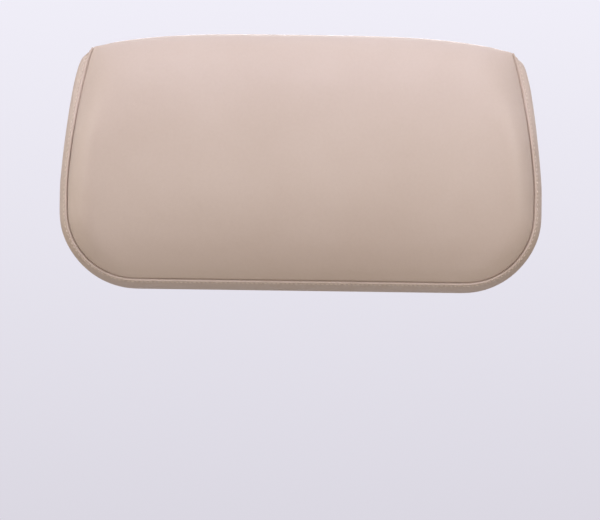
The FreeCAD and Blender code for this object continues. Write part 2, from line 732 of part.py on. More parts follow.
def prism(face, axis):
    """The face as a bar that runs right through the pad along X, Y or Z."""
    reach = value("2 * pad_width")
    step = {"x": Vec(reach, 0, 0), "y": Vec(0, reach, 0), "z": Vec(0, 0, reach)}[axis]
    bar = face.extrude(step * 2)
    bar.translate(step * -1)
    return bar


def pad_core(inset, rear_skin):
    """The pad's form set in by inset on every side but the rear, where it starts rear_skin in front."""
    core = prism(front_outline(inset), "y").common(prism(side_outline(inset), "x"))
    core = core.common(prism(top_outline(inset), "z"))
    reach = value("2 * pad_width")
    behind = Part.makeBox(2 * reach, reach, 2 * reach, Vec(-reach, value(PAD_REAR) - rear_skin, -reach))
    return core.cut(behind)


def core_slab(inset, rear_skin, thickness, top):
    """A flat layer of the pad's core, from rear_skin in front of its rear face, up to a height."""
    reach = value("2 * pad_width")
    corner = Vec(-reach, value(PAD_REAR) - rear_skin - thickness, top + value(PAD_BOTTOM) - reach)
    return pad_core(inset, rear_skin).common(Part.makeBox(2 * reach, thickness, reach, corner))


# ---------------------------------------------------------------- pad layers
def make_foam_and_covers():
    """Foam block, wadding, leather front panel and leather border band."""
    leather, wadding, gap = (value(n) for n in ("leather", "wadding", "layer_gap"))
    skin, board = value("rear_cover_thick"), value("board_thick")
    outer = pad_core(0, skin)
    lining = pad_core(leather, skin)
    shell = outer.cut(lining)
    seam, turn = value("seam_depth"), value("shoulder_height")
    band_bar = prism(outline_face("side", [
        (-20, -20), (seam, -20), (seam, turn), ((seam - 10, turn + 15), (0, turn + 22)), (-20, turn + 22),
    ], 0), "x")
    keep(new_feature("front_cover", shell.cut(band_bar)))
    keep(new_feature("border_band", shell.common(band_bar)))
    under = pad_core(leather + gap, skin)
    foam_inset = leather + gap + wadding
    keep(new_feature("wadding_layer", under.cut(pad_core(foam_inset, 0))))
    foam = new_feature("foam_block", pad_core(foam_inset + gap, skin + board))
    room_at = "0", f"{BOARD_FRONT} - 12", "pivot_height + 2"
    room = new_box("clamp_room", "post_spacing + 32", "26", "60", *room_at)
    made = new_cut("foam_core", foam, room)
    made.Label = "foam_core"
    keep(made)


def post_slots(width, height, y, depth):
    """Tools that cut one opening for each post."""
    return [new_box(f"slot_{side}_{width}", width, depth, height,
                    f"{sign} * post_spacing / 2", y, "pivot_height + slot_lift") for side, sign in SIDES]


CLIP_PLACES = [(x, z) for x in (-175, 0, 175) for z in (-75, 30)] + [(-120, 85), (120, 85)]


def make_pad_board():
    """Plywood board that carries the foam, the clamps and the rear cover."""
    inset, top = value("leather + wadding + 0.4"), value("rear_seam_height - 8")
    slab = core_slab(inset, value("rear_cover_thick"), value("board_thick"), top)
    blank = new_feature("board_blank", slab)
    cuts = post_slots("30", "slot_height + 6", f"{BOARD_REAR} - 5", "20")
    for k, (s, r) in enumerate(CLAMP_SCREW_PLACES):
        x, z = f"{s} * clamp_spacing / 2", f"pivot_height + {r} * clamp_screw_spacing / 2"
        cuts.append(new_rod(f"board_hole_{k}", "7", "20", x, f"{BOARD_REAR} - 15", z, "y"))
        cuts.append(new_rod(f"board_recess_{k}", "15.4", "3", x, f"{BOARD_REAR} - 1.6", z, "y"))
    for k, (x, z) in enumerate(CLIP_PLACES):
        cuts.append(new_rod(f"board_clip_hole_{k}", "8", "20", x, f"{BOARD_REAR} - 15", z, "y"))
    made = new_cut("pad_board", blank, *cuts)
    made.Label = "pad_board"
    keep(made)


def make_rear_cover():
    """Leather wrapped rear panel with an opening for each post."""
    slab = core_slab(1, 0, value("rear_cover_thick"), value("rear_seam_height - 1"))
    blank = new_feature("rear_blank", slab)
    neck = "slot_width + 2 * bezel_wall + 0.2", "slot_height + 2 * bezel_wall + 0.2"
    made = new_cut("rear_cover", blank, *post_slots(*neck, f"{PAD_REAR} - 1", "20"))
    made.Label = "rear_cover"
    keep(made)


def make_slot_bezel(side, sign):
    """Moulded frame that lines a post's opening in the rear cover."""
    body = new_body("slot_bezel_" + side)
    at = {"x": f"{sign} * post_spacing / 2", "y": "pivot_height + slot_lift", "z": f"-({PAD_REAR})"}
    neck = new_sketch(body, "XZ_Plane", **at)
    draw_rectangle(neck, "slot_width + 2 * bezel_wall", "slot_height + 2 * bezel_wall")
    add_pad(neck, "rear_cover_thick")
    flange = new_sketch(body, "XZ_Plane", **at)
    across = "2 * (bezel_wall + bezel_flange)"
    draw_rectangle(flange, f"slot_width + {across}", f"slot_height + {across}")
    add_pad(flange, "1.6", reverse=True)
    rear = value(f"{PAD_REAR} + 1.6")
    corners = lambda e: along("y")(e) and e.BoundBox.YMax > rear - 1e-6
    add_edge_feature("Fillet", body, corners, "5")
    add_edge_feature("Fillet", body, in_plane("y", f"{PAD_REAR} + 1.6"), "1")
    hole = new_sketch(body, "XZ_Plane", **at)
    draw_rectangle(hole, "slot_width", "slot_height")
    add_pocket(hole, "20", both_ways=True)
    keep(body)


def make_rear_cover_clips():
    """Push-in clips bonded to the rear cover, whose ribbed stems hold in the board."""
    clips = []
    for k, (x, z) in enumerate(CLIP_PLACES):
        stem = new_rod(f"clip_stem_{k}", "5", "9", x, f"{BOARD_REAR} - 9", z, "y")
        ribs = [new_rod(f"clip_rib_{k}_{n}", "7.8", "0.8", x, f"{BOARD_REAR} - {8.6 - 2.2 * n}", z, "y")
                for n in range(4)]
        clips.append(new_fuse(f"rear_clip_{k}", stem, *ribs))
    keep(new_group("rear_cover_clips", clips))


# ---------------------------------------------------------------- housing screws
def boss_places():
    signs = [(s, r) for s in ("-1", "1") for r in ("-1", "1")]
    return [(f"{s} * boss_spacing_x / 2", f"{r} * boss_spacing_z / 2") for s, r in signs]


def make_housing_screws():
    """Countersunk screws from the plate into the housing's bosses."""
    screws = []
    for k, (x, z) in enumerate(boss_places()):
        head = doc.addObject("Part::Cone", f"housing_head_{k}")
        head.Placement = FreeCAD.Placement(Vec(), FreeCAD.Rotation(Vec(1, 0, 0), -90))
        bind(head, Radius1="4", Radius2="2", Height="2")
        place(head, x, f"{PLATE_FRONT} + 0.1", z)
        shank = new_rod(f"housing_shank_{k}", "4", "14", x, f"{PLATE_FRONT} + 0.1", z, "y")
        slot = new_box(f"housing_slot_{k}", "5", "1.6", "1", x, f"{PLATE_FRONT} + 0.4", z)
        cross = new_box(f"housing_cross_{k}", "1", "1.6", "5", x, f"{PLATE_FRONT} + 0.4", z)
        blank = new_fuse(f"housing_blank_{k}", head, shank)
        screws.append(new_cut(f"housing_screw_{k}", blank, slot, cross))
    keep(new_group("housing_screws", screws))


def make_cover_screws():
    """Pan head screws that hold the housing's cover."""
    screws = []
    for k, (x, z) in enumerate(boss_places()):
        head = new_rod(f"cover_head_{k}", "5.8", "1.4", x, f"{COVER_REAR} - 1.95", z, "y")
        shank = new_rod(f"cover_shank_{k}", "3", "9", x, f"{COVER_REAR} - 10.5", z, "y")
        slot = new_box(f"cover_slot_{k}", "3.4", "1.6", "0.8", x, f"{COVER_REAR} - 0.6", z)
        cross = new_box(f"cover_cross_{k}", "0.8", "1.6", "3.4", x, f"{COVER_REAR} - 0.6", z)
        blank = new_fuse(f"cover_blank_{k}", head, shank)
        screws.append(new_cut(f"cover_screw_{k}", blank, slot, cross))
    keep(new_group("cover_screws", screws))


# ---------------------------------------------------------------- assembly
def build():
    make_backrest_pad()
    make_base_plate()
    make_guide_housing()
    make_housing_cover()
    for side, sign in SIDES:
        make_guide_sleeve(side, sign)
        make_clamp_half("pivot_block_" + side, sign, f"{PIVOT_Y} + clamp_gap / 2", is_cap=False)
        make_clamp_half("pivot_cap_" + side, sign, CAP_FRONT, is_cap=True)
        make_friction_bush(side, sign)
        make_slot_bezel(side, sign)
    make_detent_spring()
    make_button_spring()
    make_release_button()
    make_post_frame()
    make_stop_clips()
    make_clamp_screws()
    make_tee_nuts()
    make_pad_board()
    make_foam_and_covers()
    make_rear_cover()
    make_rear_cover_clips()
    make_housing_screws()
    make_cover_screws()


def check_and_export():
    """Stops on any failed object or bad shape, then writes each sub-part."""
    failed = [o.Label for o in doc.Objects if {"Invalid", "Error"} & set(o.State)]
    if failed:
        raise RuntimeError(f"failed objects: {failed}")
    for part in PARTS:
        shape = part.Shape
        if shape.isNull() or not shape.isValid() or not shape.Solids:
            raise RuntimeError(f"{part.Label} has no valid solid")
    os.makedirs("parts", exist_ok=True)
    for part in PARTS:
        part.Shape.exportStep(os.path.join("parts", part.Label + ".step"))
        box = part.Shape.BoundBox
        spans = [f"{box.XMin:7.1f} {box.XMax:6.1f}", f"{box.YMin:7.1f} {box.YMax:6.1f}",
                 f"{box.ZMin:7.1f} {box.ZMax:6.1f}"]
        print(f"{part.Label:20s} solids {len(part.Shape.Solids):2d}  "
              f"volume {part.Shape.Volume / 1000:9.3f} cm3  x, y, z {spans}")


build()
check_and_export()
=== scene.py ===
"""Looks of the chair headrest attachment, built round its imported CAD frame."""

import json
import math

import bpy
import numpy as np
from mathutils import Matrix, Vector

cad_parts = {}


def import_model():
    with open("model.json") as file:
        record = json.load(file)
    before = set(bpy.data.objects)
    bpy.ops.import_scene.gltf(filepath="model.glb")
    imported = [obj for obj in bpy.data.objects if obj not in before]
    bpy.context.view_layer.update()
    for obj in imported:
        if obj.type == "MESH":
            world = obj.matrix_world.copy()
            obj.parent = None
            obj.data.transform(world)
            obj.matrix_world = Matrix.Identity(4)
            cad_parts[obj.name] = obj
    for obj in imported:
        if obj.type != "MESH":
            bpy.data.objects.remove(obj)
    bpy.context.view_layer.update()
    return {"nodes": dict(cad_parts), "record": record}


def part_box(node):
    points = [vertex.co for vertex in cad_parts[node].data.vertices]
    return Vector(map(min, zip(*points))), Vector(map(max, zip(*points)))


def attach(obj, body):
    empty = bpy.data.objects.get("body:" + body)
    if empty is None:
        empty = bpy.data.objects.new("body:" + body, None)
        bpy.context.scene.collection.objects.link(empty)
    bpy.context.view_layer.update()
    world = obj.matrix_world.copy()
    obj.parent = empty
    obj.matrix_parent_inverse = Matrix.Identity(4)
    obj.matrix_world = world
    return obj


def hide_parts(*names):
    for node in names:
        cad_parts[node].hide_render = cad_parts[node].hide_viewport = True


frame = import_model()
scene = bpy.context.scene
MM = 0.001

# ---------------------------------------------------------------- where the pad is
PAD_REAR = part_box("rear_cover")[1].y
PAD_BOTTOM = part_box("border_band")[0].z


def world(points):
    """Pad points (across, forward of the rear face, above the bottom edge) in mm, as metres in the scene."""
    p = np.asarray(points, float) * MM
    return np.stack([p[..., 0], PAD_REAR - p[..., 1], PAD_BOTTOM + p[..., 2]], -1)


def smoothstep(u):
    u = np.clip(u, 0, 1)
    return u * u * (3 - 2 * u)


def smooth_curve(points, steps=60):
    """A dense Catmull-Rom curve through the points."""
    p = np.asarray(points, float)
    p = np.vstack([2 * p[0] - p[1], p, 2 * p[-1] - p[-2]])
    t = np.linspace(0, 1, steps, endpoint=False)[:, None]
    runs = []
    for a, b, c, d in zip(p, p[1:], p[2:], p[3:]):
        runs.append(0.5 * (2 * b + (c - a) * t + (2 * a - 5 * b + 4 * c - d) * t**2
                           + (3 * b - a - 3 * c + d) * t**3))
    return np.vstack(runs + [p[-2:-1]])


# ---------------------------------------------------------------- the pad's form, in mm
# Side profile on the centre line, from the bottom seam over the crown and the crest to the rear top seam.
PROFILE = smooth_curve([
    (38, 8.4), (47, 20.5), (56, 40), (61.5, 62), (64.8, 84), (66, 104), (66, 126), (64.8, 148), (62, 168),
    (57.5, 187), (50.5, 205), (42, 219), (31.5, 228.8), (20, 233.9), (9.5, 232.3), (3.5, 225)])
ARC = np.concatenate([[0], np.cumsum(np.hypot(*np.diff(PROFILE, axis=0).T))])
LENGTH = ARC[-1]
CREST = ARC[np.argmax(PROFILE[:, 1])]
# Centre and radius of the lower corners of the seam, and how far forward it runs until it turns to the crest.
CORNER_X, CORNER_H, CORNER_R = 149.6, 70.4, 62
SEAM_DEPTH = 38
TURN_FROM, TURN_TO = 130, 218
# The crest falls towards the sides: by how much at half width CREST_HALF, and at the side seam.
CREST_DROP, CREST_HALF, EDGE_DROP = 13.7, 194, 13.2
# The height of the rear top corners, and how much narrower the panel is there than at the crest.
REAR_CORNER, REAR_TAPER = 211, 3.5
TOP_SEAM = 220
# The seam's height and half width up the side, and the band's bulge at each height.
SIDE_SEAM = smooth_curve([(70.4, 211.6), (95, 211.6), (117, 209.7), (135, 207.6), (154, 205.2), (172, 202.9),
                          (190, 200.2), (207, 196.6), (220, 192.6)])
BULGE = ([0, 40, 76, 105, 140, 164, 188, 204, 212, 220], [9.6, 9.4, 8.7, 8.5, 8.8, 9.2, 9.4, 8.9, 7.1, 1.2])


def profile(s):
    return np.interp(s, ARC, PROFILE[:, 0]), np.interp(s, ARC, PROFILE[:, 1])


def crest_share(s):
    """How much of the crest's drop towards the sides a row takes."""
    return np.where(s >= CREST, 1.0, smoothstep((profile(s)[1] - 150) / 83))


def edge_height(s):
    return profile(s)[1] - EDGE_DROP * crest_share(s)


def seam_half_width(s):
    """Half the width of the front panel at each row."""
    h = np.minimum(edge_height(s), TOP_SEAM)
    low = CORNER_X + np.sqrt(np.clip(CORNER_R**2 - (CORNER_H - np.minimum(h, CORNER_H)) ** 2, 0, None))
    high = np.interp(h, SIDE_SEAM[:, 0], SIDE_SEAM[:, 1])
    over = np.clip((s - CREST) / (LENGTH - CREST), 0, 1)
    return np.where(h < CORNER_H, low, high) - REAR_TAPER * over


def seam_forward(s):
    """How far forward the side seam runs at each row."""
    forward = profile(s)[0]
    turn = smoothstep((edge_height(s) - TURN_FROM) / (TURN_TO - TURN_FROM))
    crest_forward = np.interp(CREST, ARC, PROFILE[:, 0])
    seam = SEAM_DEPTH + (crest_forward - SEAM_DEPTH) * turn
    return np.where(s >= CREST, forward, np.minimum(forward, seam))


def panel(x, s):
    """The front panel's surface over its flat pattern: x across, s along the side profile.

    It rises from the side seam to the profile within reach of the seam, which is wider near the crest.
    """
    forward, high = profile(s)
    seam = seam_forward(s)
    reach = 30 + 18 * smoothstep((high - 120) / 80)
    inside = np.clip((seam_half_width(s) - np.abs(x)) / reach, 0, 1)
    rise = (forward - seam) * (1 - 0.25 * (x / 196) ** 2) * (1 - (1 - inside) ** 2.6)
    drop = CREST_DROP * crest_share(s) * (np.abs(x) / CREST_HALF) ** 3.5
    return np.stack([x, seam + rise, high - drop], -1)


# ---------------------------------------------------------------- the panel's pattern
# Steps across and up the pattern, rings between the inner rectangle and the edge, and that rectangle.
NX, NY, RINGS = 64, 36, 10
CORE_X, CORE_LOW, CORE_HIGH = 152, 58, LENGTH - 52


def spread(a, b, n):
    return a + (b - a) * np.arange(n) / n


def along(points, n):
    """n points at even distances along a polyline, without its last."""
    p = np.asarray(points, float)
    d = np.concatenate([[0], np.cumsum(np.hypot(*np.diff(p, axis=0).T))])
    at = spread(0, d[-1], n)
    return np.stack([np.interp(at, d, p[:, 0]), np.interp(at, d, p[:, 1])], -1)


def height_to_row(h):
    rising = ARC <= CREST
    return np.interp(h, PROFILE[rising, 1], ARC[rising])


def corner_arc(a, b):
    """Part of the right lower corner of the pattern, from angle a to b in degrees."""
    t = np.radians(np.linspace(a, b, 40))
    return np.stack([CORNER_X + CORNER_R * np.cos(t), height_to_row(CORNER_H + CORNER_R * np.sin(t))], -1)


def mirror(points):
    """The same line on the other side of the pattern, in the opposite direction."""
    return np.asarray(points)[::-1] * (-1, 1)


def pattern_edge():
    """The pattern's edge, anticlockwise from the middle of the left lower corner."""
    half_bottom = np.vstack([corner_arc(-45, -90), [(0, 0)]])[::-1]
    bottom = np.vstack([mirror(half_bottom), half_bottom[1:]])
    rows = np.linspace(height_to_row(CORNER_H), LENGTH, 160)
    right = np.vstack([corner_arc(-45, 0), np.stack([seam_half_width(rows), rows], -1)[1:]])
    top_x = seam_half_width(np.array([LENGTH]))[0]
    top = np.array([(top_x, LENGTH), (-top_x, LENGTH)])
    return np.vstack([along(bottom, NX), along(right, NY), along(top, NX), along(mirror(right), NY)])


def core_edge():
    """The edge of the rectangle inside the rings, with the same steps."""
    low_left, low_right = (-CORE_X, CORE_LOW), (CORE_X, CORE_LOW)
    corners = [low_left, low_right, (CORE_X, CORE_HIGH), (-CORE_X, CORE_HIGH), low_left]
    return np.vstack([along([corners[k], corners[k + 1]], n) for k, n in enumerate((NX, NY, NX, NY))])


def panel_net():
    """Pattern points and faces: a grid inside, rings round it. The outermost ring comes last."""
    core, edge = core_edge(), pattern_edge()
    n = len(edge)
    grid_x, grid_s = core[: NX, 0].tolist() + [CORE_X], core[NX: NX + NY, 1].tolist() + [CORE_HIGH]
    points = [(x, s) for s in grid_s for x in grid_x]

    def at(i, j):
        return j * (NX + 1) + i

    faces = [(at(i, j), at(i + 1, j), at(i + 1, j + 1), at(i, j + 1)) for j in range(NY) for i in range(NX)]
    ring = ([at(i, 0) for i in range(NX)] + [at(NX, j) for j in range(NY)]
            + [at(NX - i, NY) for i in range(NX)] + [at(0, NY - j) for j in range(NY)])
    for r in range(1, RINGS + 1):
        t = r / RINGS
        fresh = list(range(len(points), len(points) + n))
        points += list(map(tuple, core * (1 - t) + edge * t))
        faces += [(ring[k], fresh[k], fresh[(k + 1) % n], ring[(k + 1) % n]) for k in range(n)]
        ring = fresh
    return np.array(points), faces, ring


def new_mesh(name, points, faces, smooth=True):
    mesh = bpy.data.meshes.new(name)
    mesh.from_pydata([tuple(p) for p in points], [], [tuple(f) for f in faces])
    mesh.validate()
    mesh.update()
    if smooth:
        mesh.shade_smooth()
    obj = bpy.data.objects.new(name, mesh)
    scene.collection.objects.link(obj)
    return obj


def inflate(points, faces, pinned, pressure, cap):
    """Lets cloth of this form swell under pressure with its seam held, and returns the points, in metres."""
    obj = new_mesh("swelling", points, faces)
    held = obj.vertex_groups.new(name="held")
    held.add([int(k) for k in pinned], 1.0, "REPLACE")
    cloth = obj.modifiers.new("cloth", "CLOTH")
    settings = cloth.settings
    settings.quality = 6
    settings.mass = 0.4
    settings.tension_stiffness = settings.compression_stiffness = 60
    settings.shear_stiffness = 30
    settings.bending_stiffness = 8
    settings.use_pressure = True
    settings.uniform_pressure_force = pressure
    settings.vertex_group_mass = "held"
    settings.effector_weights.gravity = 0
    cloth.collision_settings.use_collision = False
    cloth.point_cache.frame_start, cloth.point_cache.frame_end = 1, 20
    for step in range(1, 21):
        scene.frame_set(step)
    swollen = obj.evaluated_get(bpy.context.evaluated_depsgraph_get()).data
    after = np.array([v.co for v in swollen.vertices])
    scene.frame_set(1)
    bpy.data.objects.remove(obj)
    move = after - points
    far = np.linalg.norm(move, axis=1, keepdims=True)
    return points + move * (cap * np.tanh(far / cap) / np.maximum(far, 1e-9))


def unit(v):
    return v / np.maximum(np.linalg.norm(v, axis=-1, keepdims=True), 1e-9)


class Line:
    """A line through points in mm, read by the distance along it."""

    def __init__(self, points):
        self.points = points
        self.run = np.concatenate([[0], np.cumsum(np.linalg.norm(np.diff(points, axis=0), axis=1))])
        self.length = self.run[-1]

    def read(self, distance, values):
        return np.array([np.interp(distance, self.run, values[:, i]) for i in range(3)])

    def at(self, distance):
        return self.read(distance, self.points)

    def heading(self, distance, reach):
        return unit(self.at(min(distance + reach, self.length)) - self.at(max(distance - reach, 0)))


# ---------------------------------------------------------------- leather
net, net_faces, seam_ring = panel_net()
pattern_loop = net[seam_ring]
loop_count = len(seam_ring)
panel_mm = panel(net[:, 0], net[:, 1])
panel_points = world(panel_mm)
panel_points = inflate(panel_points, net_faces, seam_ring, pressure=3.0, cap=0.0035)

# The band's side of the seam: every vertex of the loop but those of the top edge.
first, last = NX + NY, 2 * NX + NY
band_loop = [k % loop_count for k in range(last + 1, last + loop_count - NX)]
seam = panel_mm[seam_ring]


def outline_normals():
    """Outward directions across and up, at every vertex of the loop."""
    x, s = pattern_loop[:, 0], pattern_loop[:, 1]
    h = edge_height(s)
    slope = np.interp(h, SIDE_SEAM[:, 0], np.gradient(SIDE_SEAM[:, 1], SIDE_SEAM[:, 0]))
    side = np.stack([np.sign(x), -slope], -1)
    turn = np.stack([np.sign(x) * np.clip(np.abs(x) - CORNER_X, 0, None), h - CORNER_H], -1)
    down = np.stack([0 * x, -np.ones_like(x)], -1)
    low = np.where((np.abs(x) <= CORNER_X)[:, None], down, unit(turn))
    return unit(np.where((h < CORNER_H)[:, None], low, side))


outward = outline_normals()
outward3 = np.stack([outward[:, 0], 0 * outward[:, 0], outward[:, 1]], -1)
is_top = (np.arange(loop_count) >= first) & (np.arange(loop_count) <= last)
FORWARD = np.array([0, 1.0, 0])


def panel_frame(inset):
    """Directions beside the seam loop: into the panel along its surface, and out of the panel."""
    inward = unit(core_edge() - pattern_loop)
    x, s = (pattern_loop + inward * inset).T
    far = pattern_loop + inward * (inset + 2)
    into = unit(panel(far[:, 0], far[:, 1]) - panel(x, s))
    return into, unit(np.cross(panel(x, s + 1) - panel(x, s - 1), panel(x + 1, s) - panel(x - 1, s)))


# Both sides of the seam fold inward along fold_way, to these depths, and stand a little apart.
into_panel, face_out = panel_frame(25.0)
fold_way = -unit(outward3 * 0.35 + face_out * 0.94)
fold_way[is_top] = (0, 0, -1)
FOLD_DEPTHS = (0.35, 1.5, 4.5)
behind_crest = smoothstep((pattern_loop[:, 1:] - CREST) / 10)
panel_side = np.where(is_top[:, None], into_panel * 0.3, outward3 * (0.5 * behind_crest - 0.5))
BAND_SIDE = 0.6
# The band's section, from the seam (0, 0) to the rear edge, as shares of its depth and of its bulge.
SIDE_SHAPE = smooth_curve([
    (0, 0), (0.07, 0.42), (0.2, 0.8), (0.42, 1), (0.66, 0.97), (0.88, 0.82), (1, 0.62)], 12)
UNDER_SHAPE = smooth_curve([
    (0, 0), (0.04, 0.22), (0.22, 0.54), (0.46, 0.84), (0.7, 1), (0.88, 0.92), (1, 0.68)], 12)
# The band's edge beside the seam: (distance from the seam, height of the ridge).
RIDGE = ((1.0, 0.45), (1.8, 0.7), (2.7, 0.1), (4.4, 0.0))
# The band is full size where it is this wide, and everything on it shrinks where it is narrower.
FULL_BAND = 16
STITCH_FROM_SEAM = 3.3


def front_panel():
    """Front panel that wraps over the top, its edge turned in along the seam."""
    inward = unit(core_edge() - pattern_loop)
    points, faces = [tuple(p) for p in panel_points], [f for f in net_faces]
    moved = panel_points - world(panel_mm)
    before = np.array(seam_ring) - loop_count
    kept = set(range(len(points) - loop_count))
    faces = [f for f in faces if all(v in kept for v in f)]
    ring = list(before)
    start = net[before]
    rows = []
    for inset, sunk in ((3.2, 0), (1.5, 0.12)):
        at = pattern_loop + inward * inset
        share = inset / np.linalg.norm(start - pattern_loop, axis=1, keepdims=True)
        rows.append(world(panel(at[:, 0], at[:, 1]) + fold_way * sunk) + moved[before] * share)
    for depth in FOLD_DEPTHS:
        rows.append(world(seam + panel_side + fold_way * depth))
    for row in rows:
        base = len(points)
        fresh = list(range(base, base + loop_count))
        points += [tuple(p) for p in row]
        faces += [(ring[k], fresh[k], fresh[(k + 1) % loop_count], ring[(k + 1) % loop_count])
                  for k in range(loop_count)]
        ring = fresh
    used = sorted({v for f in faces for v in f})
    index = {v: k for k, v in enumerate(used)}
    return new_mesh("front_panel", [points[v] for v in used], [[index[v] for v in f] for f in faces])


def band_section(k):
    """The band across its width at one seam vertex, from the seam to its rear edge: a dense curve in mm."""
    high = min(edge_height(pattern_loop[k, 1:])[0], TOP_SEAM)
    bulge = np.interp(high, *BULGE)
    ahead = seam[k][1]
    shape = SIDE_SHAPE + (UNDER_SHAPE - SIDE_SHAPE) * smoothstep((60 - high) / 45)
    forward = ahead + (1.0 - ahead) * shape[:, 0]
    base = np.array([seam[k][0], 0, seam[k][2]])
    fall = np.outer(shape[:, 0], (0, 0, min(REAR_CORNER - seam[k][2], 0)))
    return base + fall + outward3[k] * (bulge * shape[:, 1:]) + np.outer(forward, FORWARD)


def band_up(k, line, distance):
    """The direction out of the band at a distance from the seam."""
    side = unit(np.cross(outward3[k], FORWARD))
    up = unit(np.cross(side, line.heading(distance, 0.6)))
    return up if np.dot(up, outward3[k] + 0.5 * FORWARD) > 0 else -up


def band_scale(line):
    return min(1, line.length / FULL_BAND)


def band_points(k):
    """The band at one seam vertex, from its edge folded in at the seam to its edge behind the rear panel."""
    line = Line(band_section(k))
    scale = band_scale(line)
    edge = seam[k] + outward3[k] * BAND_SIDE * scale
    points = [edge + fold_way[k] * depth * max(scale, 0.3) for depth in FOLD_DEPTHS[::-1]]
    points += [line.at(d * scale) + band_up(k, line, d * scale) * rise * scale for d, rise in RIDGE]
    start = RIDGE[-1][0] * scale
    points += [line.at(start + (line.length - start) * share) for share in np.linspace(0, 1, 7)[1:]]
    rear = line.at(line.length)
    for inward, forward in ((2.0, 0.6), (9.0, 1.9)):
        points.append(rear - outward3[k] * inward * scale + FORWARD * forward)
    tuck = -0.5 * smoothstep((0.75 - scale) / 0.2) * unit(outward3[k] + (0, 0, 0.3))
    return np.array(points) + tuck


def stitch_places():
    """Where the stitches' line runs, and the directions out of the band there."""
    places = []
    for k in band_loop:
        line = Line(band_section(k))
        if band_scale(line) > 0.8:
            up = band_up(k, line, STITCH_FROM_SEAM)
            places.append((line.at(STITCH_FROM_SEAM) + up * 0.15, up))
    return np.array(places)


def border_band():
    rows = np.stack([band_points(k) for k in band_loop], 1)
    count = len(band_loop)
    points = np.vstack(world(rows))
    faces = [(r * count + k + 1, r * count + k, (r + 1) * count + k, (r + 1) * count + k + 1)
             for r in range(len(rows) - 1) for k in range(count - 1)]
    return new_mesh("band_leather", points, faces)


def finish_leather(obj):
    """Rounds the net off and gives the leather its thickness."""
    smooth = obj.modifiers.new("smooth", "SUBSURF")
    smooth.levels = smooth.render_levels = 2
    skin = obj.modifiers.new("skin", "SOLIDIFY")
    skin.thickness = 1.4 * MM
    skin.offset = -1
    return obj


def stitches():
    """A row of top stitches along the band, beside the seam."""
    pitch, length, radius, end_gap, sides = 4.0, 2.6, 0.45, 6, 8
    place, up = np.swapaxes(stitch_places(), 0, 1)
    line = Line(place)
    points, faces = [], []
    # One stitch's rings: (share of its length, thickness, rise), thin and sunk at both ends.
    half = [(-0.5, 0.25, -0.45), (-0.4, 0.8, -0.1), (-0.15, 1, 0.1)]
    ends = half + [(-share, thick, rise) for share, thick, rise in half[::-1]]
    for distance in np.arange(end_gap, line.length - end_gap, pitch):
        middle, normal = line.at(distance), unit(line.read(distance, up))
        ahead = line.heading(distance, 1.0)
        across = np.cross(ahead, normal)
        base = len(points)
        for share, thick, rise in ends:
            for a in np.arange(sides) * 2 * math.pi / sides:
                points.append(middle + ahead * share * length + normal * rise * radius
                              + (across * math.cos(a) * 1.1 + normal * math.sin(a)) * radius * thick)
        for r in range(len(ends) - 1):
            for a in range(sides):
                b = (a + 1) % sides
                faces.append((base + r * sides + a, base + r * sides + b,
                              base + (r + 1) * sides + b, base + (r + 1) * sides + a))
        faces.append(tuple(base + a for a in range(sides))[::-1])
        faces.append(tuple(base + (len(ends) - 1) * sides + a for a in range(sides)))
    return new_mesh("seam_stitches", world(np.array(points)), faces)


def rear_panel():
    """Leather wrapped rear panel with soft edges and an opening for each post."""
    curve = bpy.data.curves.new("rear_panel_outline", "CURVE")
    curve.dimensions = "2D"
    curve.fill_mode = "BOTH"
    curve.extrude, curve.bevel_depth, curve.bevel_resolution = 0.2 * MM, 1.1 * MM, 3

    def loop(points):
        line = curve.splines.new("POLY")
        line.points.add(len(points) - 1)
        for p, q in zip(line.points, points):
            p.co = (q[0], q[1], 0, 1)
        line.use_cyclic_u = True

    outline = seam[:, [0, 2]] + outward * 0.4
    outline[is_top] = seam[is_top][:, [0, 2]] - (0, 0.9)
    loop(outline[is_top | (outline[:, 1] < REAR_CORNER - 2)] * MM + (0, PAD_BOTTOM))
    margin = 3.6 * MM
    for side in ("left", "right"):
        low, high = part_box("slot_bezel_" + side)
        x0, x1, z0, z1 = low.x + margin, high.x - margin, low.z + margin, high.z - margin
        loop([(x0, z0), (x0, z1), (x1, z1), (x1, z0)])
    flat = bpy.data.objects.new("rear_panel_curve", curve)
    scene.collection.objects.link(flat)
    made = bpy.data.meshes.new_from_object(flat.evaluated_get(bpy.context.evaluated_depsgraph_get()))
    bpy.data.objects.remove(flat)
    obj = bpy.data.objects.new("rear_panel", made)
    scene.collection.objects.link(obj)
    for v in made.vertices:
        v.co = (v.co.x, PAD_REAR - 1.4 * MM + v.co.z, v.co.y)
    made.flip_normals()
    made.update()
    made.shade_smooth()
    made.set_sharp_from_angle(angle=math.radians(40))
    return obj


# ---------------------------------------------------------------- materials
def srgb(r, g, b):
    """An 8-bit colour as scene linear."""
    lin = [(c / 255 / 12.92) if c / 255 <= 0.04045 else ((c / 255 + 0.055) / 1.055) ** 2.4 for c in (r, g, b)]
    return (*lin, 1.0)


